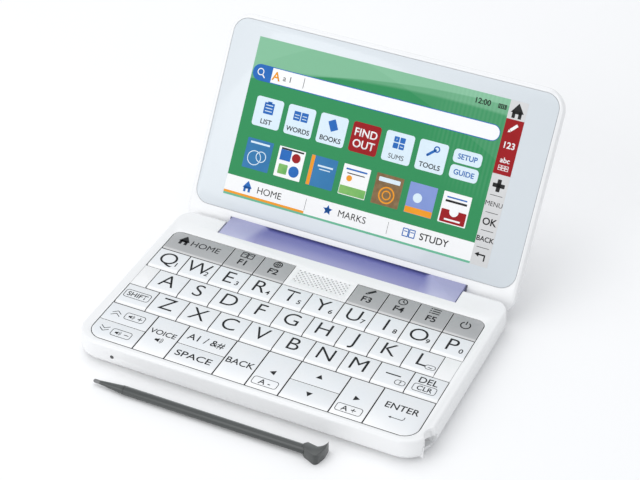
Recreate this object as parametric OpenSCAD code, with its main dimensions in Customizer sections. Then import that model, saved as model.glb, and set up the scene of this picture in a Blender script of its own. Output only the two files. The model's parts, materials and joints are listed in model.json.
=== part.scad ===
// Pocket electronic dictionary: a clamshell with a keyboard deck, a hinged touch-screen lid,
// a full-width hinge spine and a loose stylus. Millimetres, +Z up, origin under the middle of
// the object on the desk. X runs along the keys, +Y points to the hinge side.

/* [Keyboard] */
// Pitch of the letter keys along a row
key_pitch = 14.1; // [12.5:0.1:16]
// Depth of the function key row
function_row_d = 13.25; // [11:0.05:16]
// Depth of each of the three letter rows
letter_row_d = 13.32; // [11:0.05:16]
// Depth of each half of the front row
front_row_d = 11.12; // [10:0.05:14]
// Gap between neighbouring keys, and round the whole field
key_gap = 0.32; // [0.2:0.02:0.5]
// Thickness of a key cap
cap_t = 1.7; // [1.4:0.1:2.2]
// How far a key goes down when it is pressed
key_travel = 0.8; // [0.5:0.1:1]
// Depth of the sloped front of a letter key
letter_slope_d = 2.3; // [1:0.1:3]
// Depth of the sloped front of a function key
function_slope_d = 1.5; // [0.8:0.1:2.5]
// Corner radius of the key field at the hinge side
field_rear_r = 3.8; // [2:0.1:5]
// Corner radius of the key field at the front
field_front_r = 6.8; // [4:0.1:8]
// Radius of the post under a key cap
post_r = 1.5; // [1:0.1:1.7]

/* [Speaker grille] */
// Radius of one sound hole
sound_hole_r = 0.4; // [0.25:0.05:0.5]
// Distance from one sound hole to the next along a row
sound_hole_pitch = 2.02; // [1.6:0.02:2.3]
// Sound holes in a full row
sound_holes = 12; // [8:1:13]
// Full rows of sound holes, with shorter rows between them
sound_rows = 4; // [2:1:5]

/* [Base] */
// Height of the deck above the desk
base_h = 11; // [10.6:0.1:12.5]
// Height of the joint between the two base shells
base_split_h = 4.8; // [4.4:0.1:5.2]
// Deck frame beside the key field
side_frame = 5.1; // [4.6:0.1:8]
// Deck frame in front of the key field
front_frame = 3.15; // [2.8:0.05:5]
// Corner radius of the base at the front
base_front_r = 11; // [8:0.5:14]
// Corner radius of the base at the hinge side
base_rear_r = 8.5; // [6:0.5:10]
// Roundness of the deck's outer edge
deck_edge_r = 1.3; // [0.6:0.1:1.8]
// Wall thickness of the base shells
base_wall = 1.6; // [1.2:0.1:2]
// Thickness of the deck plate
deck_t = 1.6; // [1.2:0.1:1.8]
// Radius of the rounded underside
belly_r = 4.2; // [3:0.1:4.4]
// How far the rubber feet stand out
foot_h = 0.6; // [0.4:0.05:1]
// Radius of a rubber foot
foot_r = 4; // [3:0.5:4.5]

/* [Inner parts] */
// Height of the main board's underside above the desk
board_h = 5.2; // [5:0.1:5.6]
// Thickness of the main board
board_t = 1; // [0.8:0.1:1.2]
// Thickness of the battery pack
battery_t = 2.6; // [2:0.1:3]
// Length of the battery pack along the keys
battery_w = 58; // [40:1:70]
// Depth of the battery pack
battery_d = 36; // [25:1:45]
// Shaft radius of a case screw
screw_r = 1; // [0.8:0.05:1.2]
// Bore radius of the earphone socket
jack_r = 1.8; // [1.3:0.05:1.85]
// Length of the earphone socket's bore
jack_l = 11; // [8:0.5:12]

/* [Hinge] */
// Distance from the key field to the hinge axis
hinge_y = 13.5; // [13:0.1:16]
// Radius of the rounded ears that carry the hinge pins
ear_r = 3.1; // [2.8:0.1:3.5]
// Width of the gap between the two ears
ear_gap_w = 109; // [90:1:115]
// Radius of the hinge spine's lip round the axis
spine_r = 7.5; // [7:0.1:7.6]
// Clearance between the spine and the base
spine_clear = 0.35; // [0.25:0.05:0.5]
// Distance from the axis to the spine's flat face
spine_face = 2.8; // [2.6:0.1:3]
// Distance from the axis to the spine's outer face
spine_back = 3.4; // [3:0.1:3.8]
// Depth of the long hollow in the spine's flat face
spine_hollow = 1.2; // [0.6:0.1:1.4]
// Length of the solid block at each end of the spine
spine_block_w = 15.5; // [14:0.5:20]
// Radius of a hinge pin
pin_r = 1.4; // [1.2:0.05:1.6]
// Running clearance round a hinge pin
pin_clear = 0.05; // [0.02:0.01:0.1]
// How far a hinge pin reaches into an ear
pin_in_ear = 7.5; // [5:0.5:9]
// How far a hinge pin reaches into the spine
pin_in_spine = 13; // [8:0.5:13]

/* [Lid] */
// Angle between the lid and the deck as the object stands
lid_angle = 122.7; // [90:0.1:135]
// Thickness of the lid
lid_t = 7; // [6.6:0.1:9]
// Gap between the closed lid and the deck
lid_gap = 0.3; // [0.2:0.05:0.5]
// How much narrower the lid is than the base, on each side
lid_inset = 0.4; // [0:0.1:1]
// Corner radius of the lid's free corners
lid_free_r = 9.5; // [8:0.5:12]
// Corner radius of the lid's corners at the hinge
lid_hinge_r = 8; // [6:0.5:10]
// Roundness of the lid's back edge
lid_back_r = 3; // [2:0.1:3.4]
// Roundness of the lid's heel, behind the hinge
lid_heel_r = 4.5; // [3.5:0.1:4.6]
// Thickness of the lid's front frame
lid_frame_t = 2.2; // [1.8:0.1:2.6]
// Wall thickness of the lid's back shell
lid_wall = 1.3; // [1:0.1:1.6]
// White rim between the lid's edge and the touch panel
lid_rim = 1.9; // [1.5:0.1:3]
// Depth of the lid's front frame between the spine and the touch panel
lid_chin = 2.6; // [2:0.1:4]
// Thickness of the touch panel
panel_t = 0.7; // [0.5:0.05:1]
// Corner radius of the touch panel
panel_r = 6.5; // [3:0.5:8]
// Width of the display module
display_w = 130; // [110:1:134]
// Depth of the display module
display_d = 76; // [60:1:78]
// Thickness of the display module
display_t = 2.2; // [1.6:0.1:2.8]

/* [Stylus] */
// Length of the stylus from nib to head
stylus_l = 99.3; // [80:0.1:120]
// Radius of the stylus shaft
stylus_r = 1.85; // [1.5:0.05:1.9]
// Length of the tapered nose behind the nib
stylus_nose_l = 9.7; // [7:0.1:14]
// Radius of the nib
nib_r = 0.8; // [0.5:0.05:1]
// Length of the nib
nib_l = 3; // [2:0.1:4]
// Length of the hooked head beyond the shaft
head_reach = 7.3; // [6:0.1:9]
// Height of the hooked head
head_h = 4.8; // [4.4:0.1:5.2]
// How far the head stands out in front of the shaft's axis
head_front = 3.8; // [3:0.1:4.2]
// How far the head's fin reaches behind the shaft's axis
head_fin = 5.4; // [4:0.1:6]
// Clearance round the stylus in its store
silo_clear = 0.15; // [0.1:0.05:0.25]
// Distance from the key field's front line back to the store's axis
silo_back = 5.65; // [5:0.05:6.5]
// Distance from the front of the base to the lying stylus
stylus_away = 10.6; // [8:0.2:30]
// Sideways shift of the lying stylus from the middle
stylus_shift = -9.4; // [-20:0.2:20]

/* [Hidden] */
fit_gap = 0.3; // running gap between pieces that move apart
seat_gap = 0.05; // gap round a piece that sits in its pocket
far = 200; // longer than anything that is cut
arc_steps = 6; // straight steps in a quarter turn of a moulded edge
round_fn = 48;
pin_fn = 64;

// Key rows, from the hinge side to the front: 0 function, 1 to 3 letters, 4 and 5 front halves
row_depths = [function_row_d, letter_row_d, letter_row_d, letter_row_d, front_row_d, front_row_d];
function row_line(i) = i == 0 ? 0 : row_line(i - 1) - row_depths[i - 1];
key_columns = 10;
field_w = key_columns * key_pitch;
field_front = row_line(6);
front_row_mid = row_line(5);

// The base outline
base_w = field_w + 2 * side_frame;
base_front = field_front - front_frame;
hinge_z = base_h - ear_r;
base_rear = hinge_y + ear_r;
rear_wall_y = hinge_y - 1.1;
deck_underside = base_h - deck_t;
inner_w = base_w - 2 * base_wall;
inner_front = base_front + base_wall;
inner_rear = rear_wall_y - 3.5;
floor_h = foot_h + base_wall;
notch_r = spine_r + spine_clear;
draft = 0.3;

// Key stack
cap_bottom = base_h - cap_t;
board_top = board_h + board_t;
sheet_t = 0.6;
post_bottom = board_top + key_travel + 0.1;
dome_top = cap_bottom - key_travel - fit_gap;
dome_r = post_r + 1.5;
post_hole_r = post_r + fit_gap;

// The grille bridge takes two cells of the function row
grille_first = 4;
grille_last = 6;

// Lid, drawn closed and then turned about the hinge axis
lid_w = base_w - 2 * lid_inset;
lid_front = base_front + 0.4;
lid_rear = hinge_y + 2.5;
lid_floor = base_h + lid_gap;
lid_back_h = lid_floor + lid_t;
lid_split_h = lid_floor + lid_frame_t;
spine_top_y = hinge_y - (spine_face + (lid_floor - hinge_z) * cos(180 - lid_angle)) / sin(180 - lid_angle);
panel_rear = spine_top_y - lid_chin;
panel_front = lid_front + lid_rim + 0.2;
panel_w = lid_w - 2 * lid_rim;
panel_pocket = 0.15;
display_y = panel_rear - 6.4 + 3.5 - display_d / 2;
spine_w = ear_gap_w - 2 * 0.6;

// Stylus store
silo_y = field_front + silo_back;
silo_z = 4.5;
silo_r = stylus_r + silo_clear;
silo_wall = 0.95;
silo_bite_r = 4;
silo_mouth = base_w / 2 - head_reach - fit_gap;
silo_l = stylus_l - head_reach + 1;

// Case screws stand beside the ears and under the blanks of the second letter row
screw_places = [
  [ear_gap_w / 2 + 4, hinge_y - 9.3],
  [field_w / 2 - key_pitch / 4, (row_line(2) + row_line(3)) / 2]
];
screw_head_r = 1.8;
screw_head_h = 0.9;
boss_r = screw_r + 1.2;
foot_places = [
  [base_w / 2 - 8.6, hinge_y - 9.6],
  [base_w / 2 - 12.6, base_front + 12.6]
];
foot_seat = 0.5;

chip_w = 8;

// Sockets in the left wall
jack_y = hinge_y - 8;
jack_z = 7.2;
jack_body = 2.1;
usb_y = -4;
usb_w = 7.5;
usb_h = 2.6;
usb_z = 6.6;

// Indicator in the front wall
indicator_x = field_w / 2 - 127.3;
indicator_z = 6.1;
indicator_r = 0.8;

// The object stands with its origin under the middle of its outline
function lid_open_y(y, z) = hinge_y + (y - hinge_y) * cos(lid_angle) + (z - hinge_z) * sin(lid_angle);
rear_reach = lid_open_y(lid_front + lid_back_r, lid_back_h - lid_back_r) + lid_back_r;
stylus_y = base_front - stylus_away;
front_reach = stylus_y - head_front;
mid_y = (front_reach + rear_reach) / 2;

// name, first column, last column, first row, last row, kind
function letter_row(names, first, row) = [
  for (i = [0:len(names) - 1]) [str("key_", names[i]), first + i, first + i + 1, row, row + 1, "letter"]
];
KEYS = concat(
  [
    ["home_key", 0, 2, 0, 1, "function"],
    ["mode_key_1", 2, 3, 0, 1, "function"],
    ["mode_key_2", 3, 4, 0, 1, "function"],
    ["mode_key_3", 6, 7, 0, 1, "function"],
    ["mode_key_4", 7, 8, 0, 1, "function"],
    ["mode_key_5", 8, 9, 0, 1, "function"],
    ["power_key", 9, 10, 0, 1, "function"]
  ],
  letter_row("qwertyuiop", 0, 1),
  letter_row("asdfghjkl", 0.5, 2),
  [["shift_key", 0, 1, 3, 4, "letter"]],
  letter_row("zxcvbnm", 1, 3),
  [
    ["dash_key", 8, 9, 3, 4, "letter"],
    ["delete_key", 9, 10, 3, 4, "letter"],
    ["volume_key", 0, 1.5, 4, 6, "pair"],
    ["voice_key", 1.5, 2.5, 4, 6, "flat"],
    ["space_key", 2.5, 4, 4, 6, "pair"],
    ["back_key", 4, 5, 4, 6, "flat"],
    ["left_key", 5, 6, 4, 6, "flat"],
    ["up_down_key", 6, 7.5, 4, 6, "pair"],
    ["right_key", 7.5, 8.5, 4, 6, "flat"],
    ["enter_key", 8.5, 10, 4, 6, "flat"]
  ]
);

// ---- Shared shapes ----

// Points of an arc from angle a to angle b
function arc(c, r, a, b, n = arc_steps) = [for (i = [0:n]) c + r * [cos(a + (b - a) * i / n), sin(a + (b - a) * i / n)]];

// A rounded rectangle, counter-clockwise from the front right corner
function slab_outline(w, front, rear, front_r, rear_r, n = 8) = concat(
  arc([w / 2 - front_r, front + front_r], front_r, -90, 0, n),
  arc([w / 2 - rear_r, rear - rear_r], rear_r, 0, 90, n),
  arc([rear_r - w / 2, rear - rear_r], rear_r, 90, 180, n),
  arc([front_r - w / 2, front + front_r], front_r, 180, 270, n)
);

module slab(w, front, rear, front_r, rear_r, low, high) {
  translate([0, 0, low])
    linear_extrude(high - low)
      polygon(slab_outline(w, front, rear, front_r, rear_r));
}

// Draws a YZ outline along X, centred on x
module along_x(l, x = 0) {
  translate([x - l / 2, 0, 0])
    rotate([90, 0, 90])
      linear_extrude(l)
        children();
}

module rod_x(r, from, to, y, z, fn = round_fn) {
  translate([from, y, z])
    rotate([0, 90, 0])
      cylinder(r = r, h = to - from, $fn = fn);
}

// One corner of a moulded rim, turned about its own centre
module rim_corner(r, section) {
  rotate_extrude($fn = pin_fn)
    polygon(concat(
      [[0, section[0].y]],
      [for (p = section) [r - p.x, p.y]],
      [[0, section[len(section) - 1].y]]
    ));
}

// A rounded slab whose rim follows a section of [inset, height] points, from low to high
module rimmed_slab(w, front, rear, front_r, rear_r, section) {
  low = section[0].y;
  high = section[len(section) - 1].y;
  for (side = [-1, 1]) {
    translate([side * (w / 2 - front_r), front + front_r, 0])
      rim_corner(front_r, section);
    translate([side * (w / 2 - rear_r), rear - rear_r, 0])
      rim_corner(rear_r, section);
  }
  translate([0, rear - rear_r, 0])
    rotate([90, 0, 0])
      linear_extrude(rear - rear_r - front - front_r)
        polygon(concat(
          [for (p = section) [w / 2 - p.x, p.y]],
          [for (i = [len(section) - 1:-1:0]) [section[i].x - w / 2, section[i].y]]
        ));
  along_x(w - 2 * front_r)
    polygon(concat([for (p = section) [front + p.x, p.y]], [[front + front_r, high], [front + front_r, low]]));
  along_x(w - 2 * rear_r)
    polygon(concat([for (p = section) [rear - p.x, p.y]], [[rear - rear_r, high], [rear - rear_r, low]]));
}

module both_sides() {
  for (side = [-1, 1])
    scale([side, 1, 1])
      children();
}

// Turns a shape drawn on the closed lid to where the lid stands
module opened() {
  translate([0, hinge_y, hinge_z])
    rotate([-lid_angle, 0, 0])
      translate([0, -hinge_y, -hinge_z])
        children();
}

module placed() {
  translate([0, -mid_y, 0])
    children();
}

// ---- Keys ----

function column_x(c) = (c - key_columns / 2) * key_pitch;
function key_mid_y(k) = (row_line(k[3]) + row_line(k[4])) / 2;
function key_mid_x(k) = column_x((k[1] + k[2]) / 2);
function post_offsets(k) = k[2] - k[1] > 1.2 ? [-(k[2] - k[1]) / 4, (k[2] - k[1]) / 4] : [0];
function key_posts(k) = [for (o = post_offsets(k)) [key_mid_x(k) + o * key_pitch, key_mid_y(k)]];
function slope_d(kind) = kind == "letter" ? letter_slope_d : kind == "function" ? function_slope_d : 0.3;
function slope_drop(kind) = kind == "letter" ? 0.75 : kind == "function" ? 0.5 : 0.2;

module key_field(inset, low, high) {
  slab(
    field_w + key_gap - 2 * inset, field_front - key_gap / 2 + inset, key_gap / 2 - inset,
    field_front_r - inset, field_rear_r - inset, low, high
  );
}

// A cap with a sloped front, chamfered top edges and round posts underneath
module key_cap(k) {
  kind = k[5];
  left = column_x(k[1]) + key_gap / 2;
  right = column_x(k[2]) - key_gap / 2;
  front = row_line(k[4]) + key_gap / 2;
  rear = row_line(k[3]) - key_gap / 2;
  edge = 0.2;
  is_corner = (k[1] == 0 || k[2] == key_columns) && (k[3] == 0 || k[4] == 6);
  difference() {
    intersection() {
      along_x(right - left, (left + right) / 2)
        polygon([
          [front, cap_bottom],
          [front, base_h - slope_drop(kind)],
          [front + slope_d(kind), base_h],
          [rear - edge, base_h],
          [rear, base_h - edge],
          [rear, cap_bottom]
        ]);
      translate([0, rear, 0])
        rotate([90, 0, 0])
          linear_extrude(rear - front)
            polygon([
              [left, cap_bottom], [left, base_h - edge], [left + edge, base_h],
              [right - edge, base_h], [right, base_h - edge], [right, cap_bottom]
            ]);
      if (is_corner)
        key_field(key_gap, cap_bottom, base_h);
    }
    // the groove between the two halves of a two-way key
    if (kind == "pair")
      translate([left - 1, front_row_mid - 0.12, base_h - 0.5])
        cube([right - left + 2, 0.24, 1]);
  }
  for (p = key_posts(k))
    translate([p.x, p.y, post_bottom])
      cylinder(r = post_r, h = cap_bottom - post_bottom + 0.2, $fn = round_fn);
}

// ---- Base ----

base_top_rim = concat(
  [[0, base_split_h], [draft, base_h - deck_edge_r]],
  [for (i = [1:arc_steps]) let (a = 90 * i / arc_steps)
    [draft + deck_edge_r * (1 - cos(a)), base_h - deck_edge_r * (1 - sin(a))]]
);
base_belly_rim = concat(
  [for (i = [0:arc_steps]) let (a = 90 * i / arc_steps)
    [belly_r * (1 - sin(a)), foot_h + belly_r * (1 - cos(a))]],
  [[0, base_split_h]]
);

module notch_for_spine(r) {
  rod_x(r, -ear_gap_w / 2, ear_gap_w / 2, hinge_y, hinge_z, pin_fn);
}

// Pocket for the stylus's head at the mouth of its store
module head_pocket(gap) {
  translate([silo_mouth - gap + fit_gap, silo_y - head_front - gap, silo_z - head_h / 2 - gap])
    cube([far, head_front + head_fin + 2 * gap, head_h + 2 * gap]);
}

// The bite in the right wall where the stylus is drawn out
module silo_bite() {
  translate([base_w / 2 + 0.9, silo_y, 0])
    cylinder(r = silo_bite_r, h = far, $fn = pin_fn);
  head_pocket(fit_gap);
}

module deck_rear_shape() {
  along_x(base_w + 2) {
    translate([base_front - 1, 0])
      square([rear_wall_y - base_front + 1, base_h + 1]);
    translate([rear_wall_y - 1, base_split_h])
      square([hinge_y - rear_wall_y + 1, ear_r * 2]);
    translate([hinge_y, hinge_z])
      circle(r = ear_r, $fn = pin_fn);
  }
}

module base_top_inside() {
  difference() {
    slab(inner_w, inner_front, inner_rear, base_front_r - base_wall, 3, base_split_h - 1, deck_underside);
    rod_x(notch_r + 1.4, -ear_gap_w / 2 - 1.4, ear_gap_w / 2 + 1.4, hinge_y, hinge_z);
    // solid under the fixed blanks at both ends of the second letter row
    both_sides()
      translate([field_w / 2 - key_pitch / 2 + key_gap / 2, row_line(3) + key_gap / 2, cap_bottom])
        cube([key_pitch, letter_row_d - key_gap, cap_t]);
  }
}

module key_openings() {
  difference() {
    key_field(0, cap_bottom - 3, base_h + 1);
    // the bridge that holds the grille
    translate([column_x(grille_first) + key_gap / 2, row_line(1) + key_gap / 2, 0])
      cube([column_x(grille_last) - column_x(grille_first) - key_gap, far, far]);
    // the two fixed blanks
    both_sides()
      translate([field_w / 2 - key_pitch / 2 + key_gap / 2, row_line(3) + key_gap / 2, 0])
        cube([far, letter_row_d - key_gap, far]);
  }
}

module sound_row(count, y) {
  for (i = [0:count - 1])
    translate([(i - (count - 1) / 2) * sound_hole_pitch, y, deck_underside - 1])
      cylinder(r = sound_hole_r, h = deck_t + 2, $fn = 16);
}

module sound_holes_cut() {
  first_y = -2;
  for (row = [0:sound_rows - 1]) {
    sound_row(sound_holes, first_y - row * sound_hole_pitch);
    sound_row(sound_holes - 1, first_y - (row + 0.5) * sound_hole_pitch);
  }
}

module base_top() {
  color("whitesmoke")
    difference() {
      union() {
        difference() {
          intersection() {
            rimmed_slab(base_w, base_front, base_rear, base_front_r, base_rear_r, base_top_rim);
            deck_rear_shape();
          }
          base_top_inside();
          key_openings();
          notch_for_spine(notch_r);
          translate([-ear_gap_w / 2, hinge_y, 0])
            cube([ear_gap_w, far, far]);
        }
        both_sides()
          for (p = screw_places)
            translate([p.x, p.y, board_h + seat_gap])
              cylinder(r = boss_r, h = deck_underside - board_h, $fn = round_fn);
      }
      sound_holes_cut();
      silo_bite();
      // room for the stylus store
      rod_x(silo_r + silo_wall + seat_gap, silo_mouth - silo_l - 3, base_w, silo_y, silo_z);
      both_sides() {
        for (p = screw_places)
          translate([p.x, p.y, 0])
            cylinder(r = screw_r + seat_gap, h = base_h - 1.6, $fn = round_fn);
        rod_x(pin_r + seat_gap, ear_gap_w / 2 - 1, ear_gap_w / 2 + pin_in_ear + seat_gap, hinge_y, hinge_z, pin_fn);
      }
      // earphone and charging sockets in the left wall
      rod_x(jack_body + 0.2, -far, base_wall + 0.5 - base_w / 2, jack_y, jack_z);
      translate([-base_w / 2 - 1, usb_y - usb_w / 2 - 0.2, usb_z - usb_h / 2 - 0.2])
        cube([base_wall + 1.5, usb_w + 0.4, usb_h + 0.4]);
      // seat of the indicator
      translate([indicator_x, base_front - 1, indicator_z])
        rotate([-90, 0, 0])
          cylinder(r = indicator_r + seat_gap, h = base_wall + 2, $fn = round_fn);
    }
}

module base_bottom() {
  wall_h = base_split_h - floor_h;
  inside_rim = [[belly_r * 0.9, floor_h], [base_wall + 0.6, floor_h + wall_h * 0.5], [base_wall, base_split_h + 1]];
  color("gainsboro")
    difference() {
      union() {
        difference() {
          rimmed_slab(base_w, base_front, rear_wall_y, base_front_r, base_rear_r - 2, base_belly_rim);
          difference() {
            rimmed_slab(base_w, base_front, rear_wall_y, base_front_r, base_rear_r - 2, inside_rim);
            rod_x(notch_r + 1.4, -ear_gap_w / 2 - 1.4, ear_gap_w / 2 + 1.4, hinge_y, hinge_z);
          }
        }
        both_sides()
          for (p = screw_places)
            translate([p.x, p.y, foot_h + 0.5])
              cylinder(r = boss_r + 1.1, h = board_h - foot_h - 0.5, $fn = round_fn);
        intersection() {
          rod_x(silo_r + silo_wall, silo_mouth - silo_l - 2, base_w / 2, silo_y, silo_z);
          slab(base_w - 0.4, base_front, base_rear, base_front_r, base_rear_r, 0, base_h);
        }
      }
      notch_for_spine(notch_r);
      silo_bite();
      rod_x(silo_r, silo_mouth - silo_l, base_w, silo_y, silo_z, pin_fn);
      both_sides() {
        for (p = screw_places)
          translate([p.x, p.y, 0]) {
            cylinder(r = screw_r + 0.15, h = base_h, $fn = round_fn);
            cylinder(r = screw_head_r + 0.15, h = floor_h + 0.5, $fn = round_fn);
          }
        for (p = foot_places)
          translate([p.x, p.y, 0])
            cylinder(r = foot_r + seat_gap, h = foot_h + foot_seat, $fn = round_fn);
      }
    }
}

module case_screws() {
  color("silver")
    both_sides()
      for (p = screw_places)
        translate([p.x, p.y, floor_h + 0.5 - screw_head_h])
          difference() {
            union() {
              cylinder(r = screw_head_r, h = screw_head_h, $fn = round_fn);
              cylinder(r = screw_r, h = board_h + 2.6 - floor_h, $fn = round_fn);
            }
            // cross recess in the head
            for (turn = [0, 90])
              rotate([0, 0, turn])
                translate([-1.1, -0.2, -1])
                  cube([2.2, 0.4, 1.5]);
          }
}

module rubber_feet() {
  color("dimgray")
    both_sides()
      for (p = foot_places)
        translate([p.x, p.y, 0]) {
          cylinder(r1 = foot_r - 0.3, r2 = foot_r, h = 0.3, $fn = round_fn);
          translate([0, 0, 0.3])
            cylinder(r = foot_r, h = foot_h + foot_seat - 0.3, $fn = round_fn);
        }
}

module indicator_lens() {
  color("darkslategray")
    translate([indicator_x, base_front + 0.08, indicator_z])
      rotate([-90, 0, 0])
        cylinder(r = indicator_r, h = base_wall + 0.3, $fn = round_fn);
}

// ---- Inner parts of the base ----

module screw_clearances(low, high) {
  both_sides()
    for (p = screw_places)
      translate([p.x, p.y, low])
        cylinder(r = boss_r + 0.2, h = high - low, $fn = round_fn);
}

module key_mat() {
  mat_front = silo_y + silo_r + silo_wall - 0.3;
  color("darkgray")
    difference() {
      union() {
        slab(field_w - 2, mat_front, -0.6, 1, 2, board_top, board_top + sheet_t);
        for (k = KEYS)
          for (p = key_posts(k))
            translate([p.x, p.y, board_top]) {
              cylinder(r = dome_r, h = sheet_t + 0.4, $fn = 32);
              cylinder(r = dome_r - 0.5, h = dome_top - board_top, $fn = 32);
            }
      }
      for (k = KEYS)
        for (p = key_posts(k))
          translate([p.x, p.y, 0])
            cylinder(r = post_hole_r, h = far, $fn = 32);
      screw_clearances(0, far);
      // the speaker stands on the board, under the grille
      translate([column_x(grille_first) + 0.4, row_line(1) + 0.4, 0])
        cube([column_x(grille_last) - column_x(grille_first) - 0.8, far, far]);
      head_pocket(2 * fit_gap);
    }
}

module main_board() {
  board_front = silo_y + silo_r + silo_wall + 0.2;
  color("darkgreen")
    difference() {
      union() {
        difference() {
          slab(inner_w - 1, board_front, inner_rear - 0.4, 3, 3, board_h, board_top);
          rod_x(notch_r + 1.7, -ear_gap_w / 2 - 1.7, ear_gap_w / 2 + 1.7, hinge_y, hinge_z);
          screw_clearances(0, far);
          head_pocket(2 * fit_gap);
        }
        // earphone socket
        translate([base_wall + 0.3 - base_w / 2, jack_y - 3, jack_z - jack_body])
          cube([jack_l + 1.2, 6, 2 * jack_body]);
        rod_x(jack_body, 0.6 - base_w / 2, base_wall + 1 - base_w / 2, jack_y, jack_z);
        // charging socket
        translate([0.6 - base_w / 2, usb_y - usb_w / 2, usb_z - usb_h / 2])
          cube([5.5, usb_w, usb_h]);
        // chips on the underside, beside the battery
        for (x = [-battery_w / 2 - 2 * chip_w, battery_w / 2 + chip_w / 2, battery_w / 2 + 2 * chip_w])
          translate([x, row_line(3), board_h - 0.9])
            cube([chip_w, chip_w, 1]);
      }
      rod_x(jack_r, -far, 0.6 + jack_l - base_w / 2, jack_y, jack_z, pin_fn);
      difference() {
        translate([-far, usb_y - usb_w / 2 + 0.4, usb_z - usb_h / 2 + 0.4])
          cube([far - base_w / 2 + 5.3, usb_w - 0.8, usb_h - 0.8]);
        translate([1 - base_w / 2, usb_y - 2.6, usb_z - 0.4])
          cube([far, 5.2, 0.7]);
      }
    }
}

module battery_pack() {
  color("slategray")
    slab(
      battery_w, row_line(4) + 3, row_line(4) + 3 + battery_d, 2, 2,
      floor_h, floor_h + battery_t
    );
}

module speaker() {
  speaker_w = 26;
  color("dimgray")
    difference() {
      slab(speaker_w, row_line(1) + 1.2, -0.8, 5, 5, board_top, deck_underside - seat_gap);
      slab(speaker_w - 3, row_line(1) + 2.7, -2.3, 3.5, 3.5, deck_underside - 0.8, base_h);
    }
}

// ---- Hinge ----

module hinge_pins() {
  color("silver")
    both_sides()
      rod_x(pin_r, ear_gap_w / 2 - 0.6 - pin_in_spine, ear_gap_w / 2 + pin_in_ear, hinge_y, hinge_z, pin_fn);
}

// Section of the spine on the closed lid: flat inner face, rounded lip below, outer face, heel
function spine_section() =
  let (
    lean = 180 - lid_angle,
    lip_in = [-sin(lean) * spine_face - cos(lean) * sqrt(spine_r ^ 2 - spine_face ^ 2) * -1,
              -cos(lean) * spine_face - sin(lean) * sqrt(spine_r ^ 2 - spine_face ^ 2)],
    a_in = atan2(lip_in.y, lip_in.x),
    a_out = atan2(-sqrt(spine_r ^ 2 - spine_back ^ 2), spine_back),
    heel = lid_heel_r + 1,
    top = lid_back_h - hinge_z,
    axis = [hinge_y, hinge_z]
  )
  concat(
    [[spine_top_y, lid_floor]],
    arc(axis, spine_r, a_in, a_out, 4),
    arc(axis + [spine_back - heel, top - heel], heel, 0, 90),
    [[spine_top_y, lid_back_h]]
  );

module hinge_spine() {
  color("#a9a9d0")
    difference() {
      opened()
        along_x(spine_w)
          polygon(spine_section());
      // long hollow with sloped ends
      translate([0, hinge_y + spine_r + 1.2, hinge_z + spine_face])
        rotate([90, 0, 0])
          linear_extrude(2 * spine_r + 4)
            polygon([
              [spine_block_w - spine_w / 2, 0.5],
              [spine_block_w - spine_w / 2, 0],
              [spine_block_w + 2.6 - spine_w / 2, -spine_hollow],
              [spine_w / 2 - spine_block_w - 2.6, -spine_hollow],
              [spine_w / 2 - spine_block_w, 0],
              [spine_w / 2 - spine_block_w, 0.5]
            ]);
      both_sides()
        rod_x(pin_r + pin_clear, ear_gap_w / 2 - 0.9 - pin_in_spine, far, hinge_y, hinge_z, pin_fn);
    }
}

// ---- Lid ----

lid_frame_rim = [[0.5, lid_floor], [0.15, lid_floor + 0.15], [0, lid_floor + 0.5], [0, lid_split_h]];
lid_back_rim = concat(
  [[0, lid_split_h]],
  [for (i = [0:arc_steps]) let (a = 90 * i / arc_steps)
    [lid_back_r * (1 - cos(a)), lid_back_h - lid_back_r * (1 - sin(a))]]
);

module notch_in_lid() {
  translate([-ear_gap_w / 2 - 0.2, spine_top_y, lid_floor - 1])
    cube([ear_gap_w + 0.4, far, far]);
}

module lid_front() {
  color("white")
    opened()
      difference() {
        rimmed_slab(lid_w, lid_front, lid_rear, lid_free_r, lid_hinge_r, lid_frame_rim);
        notch_in_lid();
        slab(
          panel_w + 2 * panel_pocket, panel_front - panel_pocket, panel_rear + panel_pocket,
          panel_r, panel_r, lid_floor - 1, lid_floor + panel_t + seat_gap
        );
        slab(
          display_w + 0.3, display_y - display_d / 2 - 0.15, display_y + display_d / 2 + 0.15,
          2, 2, lid_floor, lid_back_h
        );
      }
}

module lid_back() {
  color("white")
    opened()
      difference() {
        intersection() {
          rimmed_slab(lid_w, lid_front, lid_rear, lid_free_r, lid_hinge_r, lid_back_rim);
          along_x(lid_w + 2)
            polygon(concat(
              [[lid_front - 1, 0], [lid_rear, 0]],
              arc([lid_rear - lid_heel_r, lid_back_h - lid_heel_r], lid_heel_r, 0, 90),
              [[lid_front - 1, lid_back_h]]
            ));
        }
        notch_in_lid();
        slab(
          lid_w - 2 * lid_wall - 2, lid_front + lid_wall + 1, spine_top_y - lid_wall,
          lid_free_r - 1, 3, lid_floor, lid_back_h - lid_wall
        );
      }
}

module touch_panel() {
  color("lightslategray")
    opened()
      slab(panel_w, panel_front, panel_rear, panel_r - 0.1, panel_r - 0.1, lid_floor, lid_floor + panel_t);
}

module display_panel() {
  color("seagreen")
    opened()
      slab(
        display_w, display_y - display_d / 2, display_y + display_d / 2, 1.5, 1.5,
        lid_floor + panel_t + seat_gap, lid_floor + panel_t + seat_gap + display_t
      );
}

// ---- Stylus ----

// Outline of the hooked head, from the shaft's end round the front corner to the fin
function head_outline() =
  let (
    neck = stylus_l - head_reach,
    corner_r = 1.6,
    fin_tip = [stylus_l - 0.4, head_fin]
  )
  concat(
    [[neck - 1.2, 1.2 - stylus_r], [neck, -stylus_r]],
    arc([neck + 4.8, corner_r - head_front], corner_r, -110, -10, 5),
    [[stylus_l, 1.2], fin_tip],
    arc([neck + 2.2, head_fin], head_reach - 2.6, 0, -65, 5),
    [[neck, stylus_r], [neck - 1.2, stylus_r - 1.2]]
  );

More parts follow.
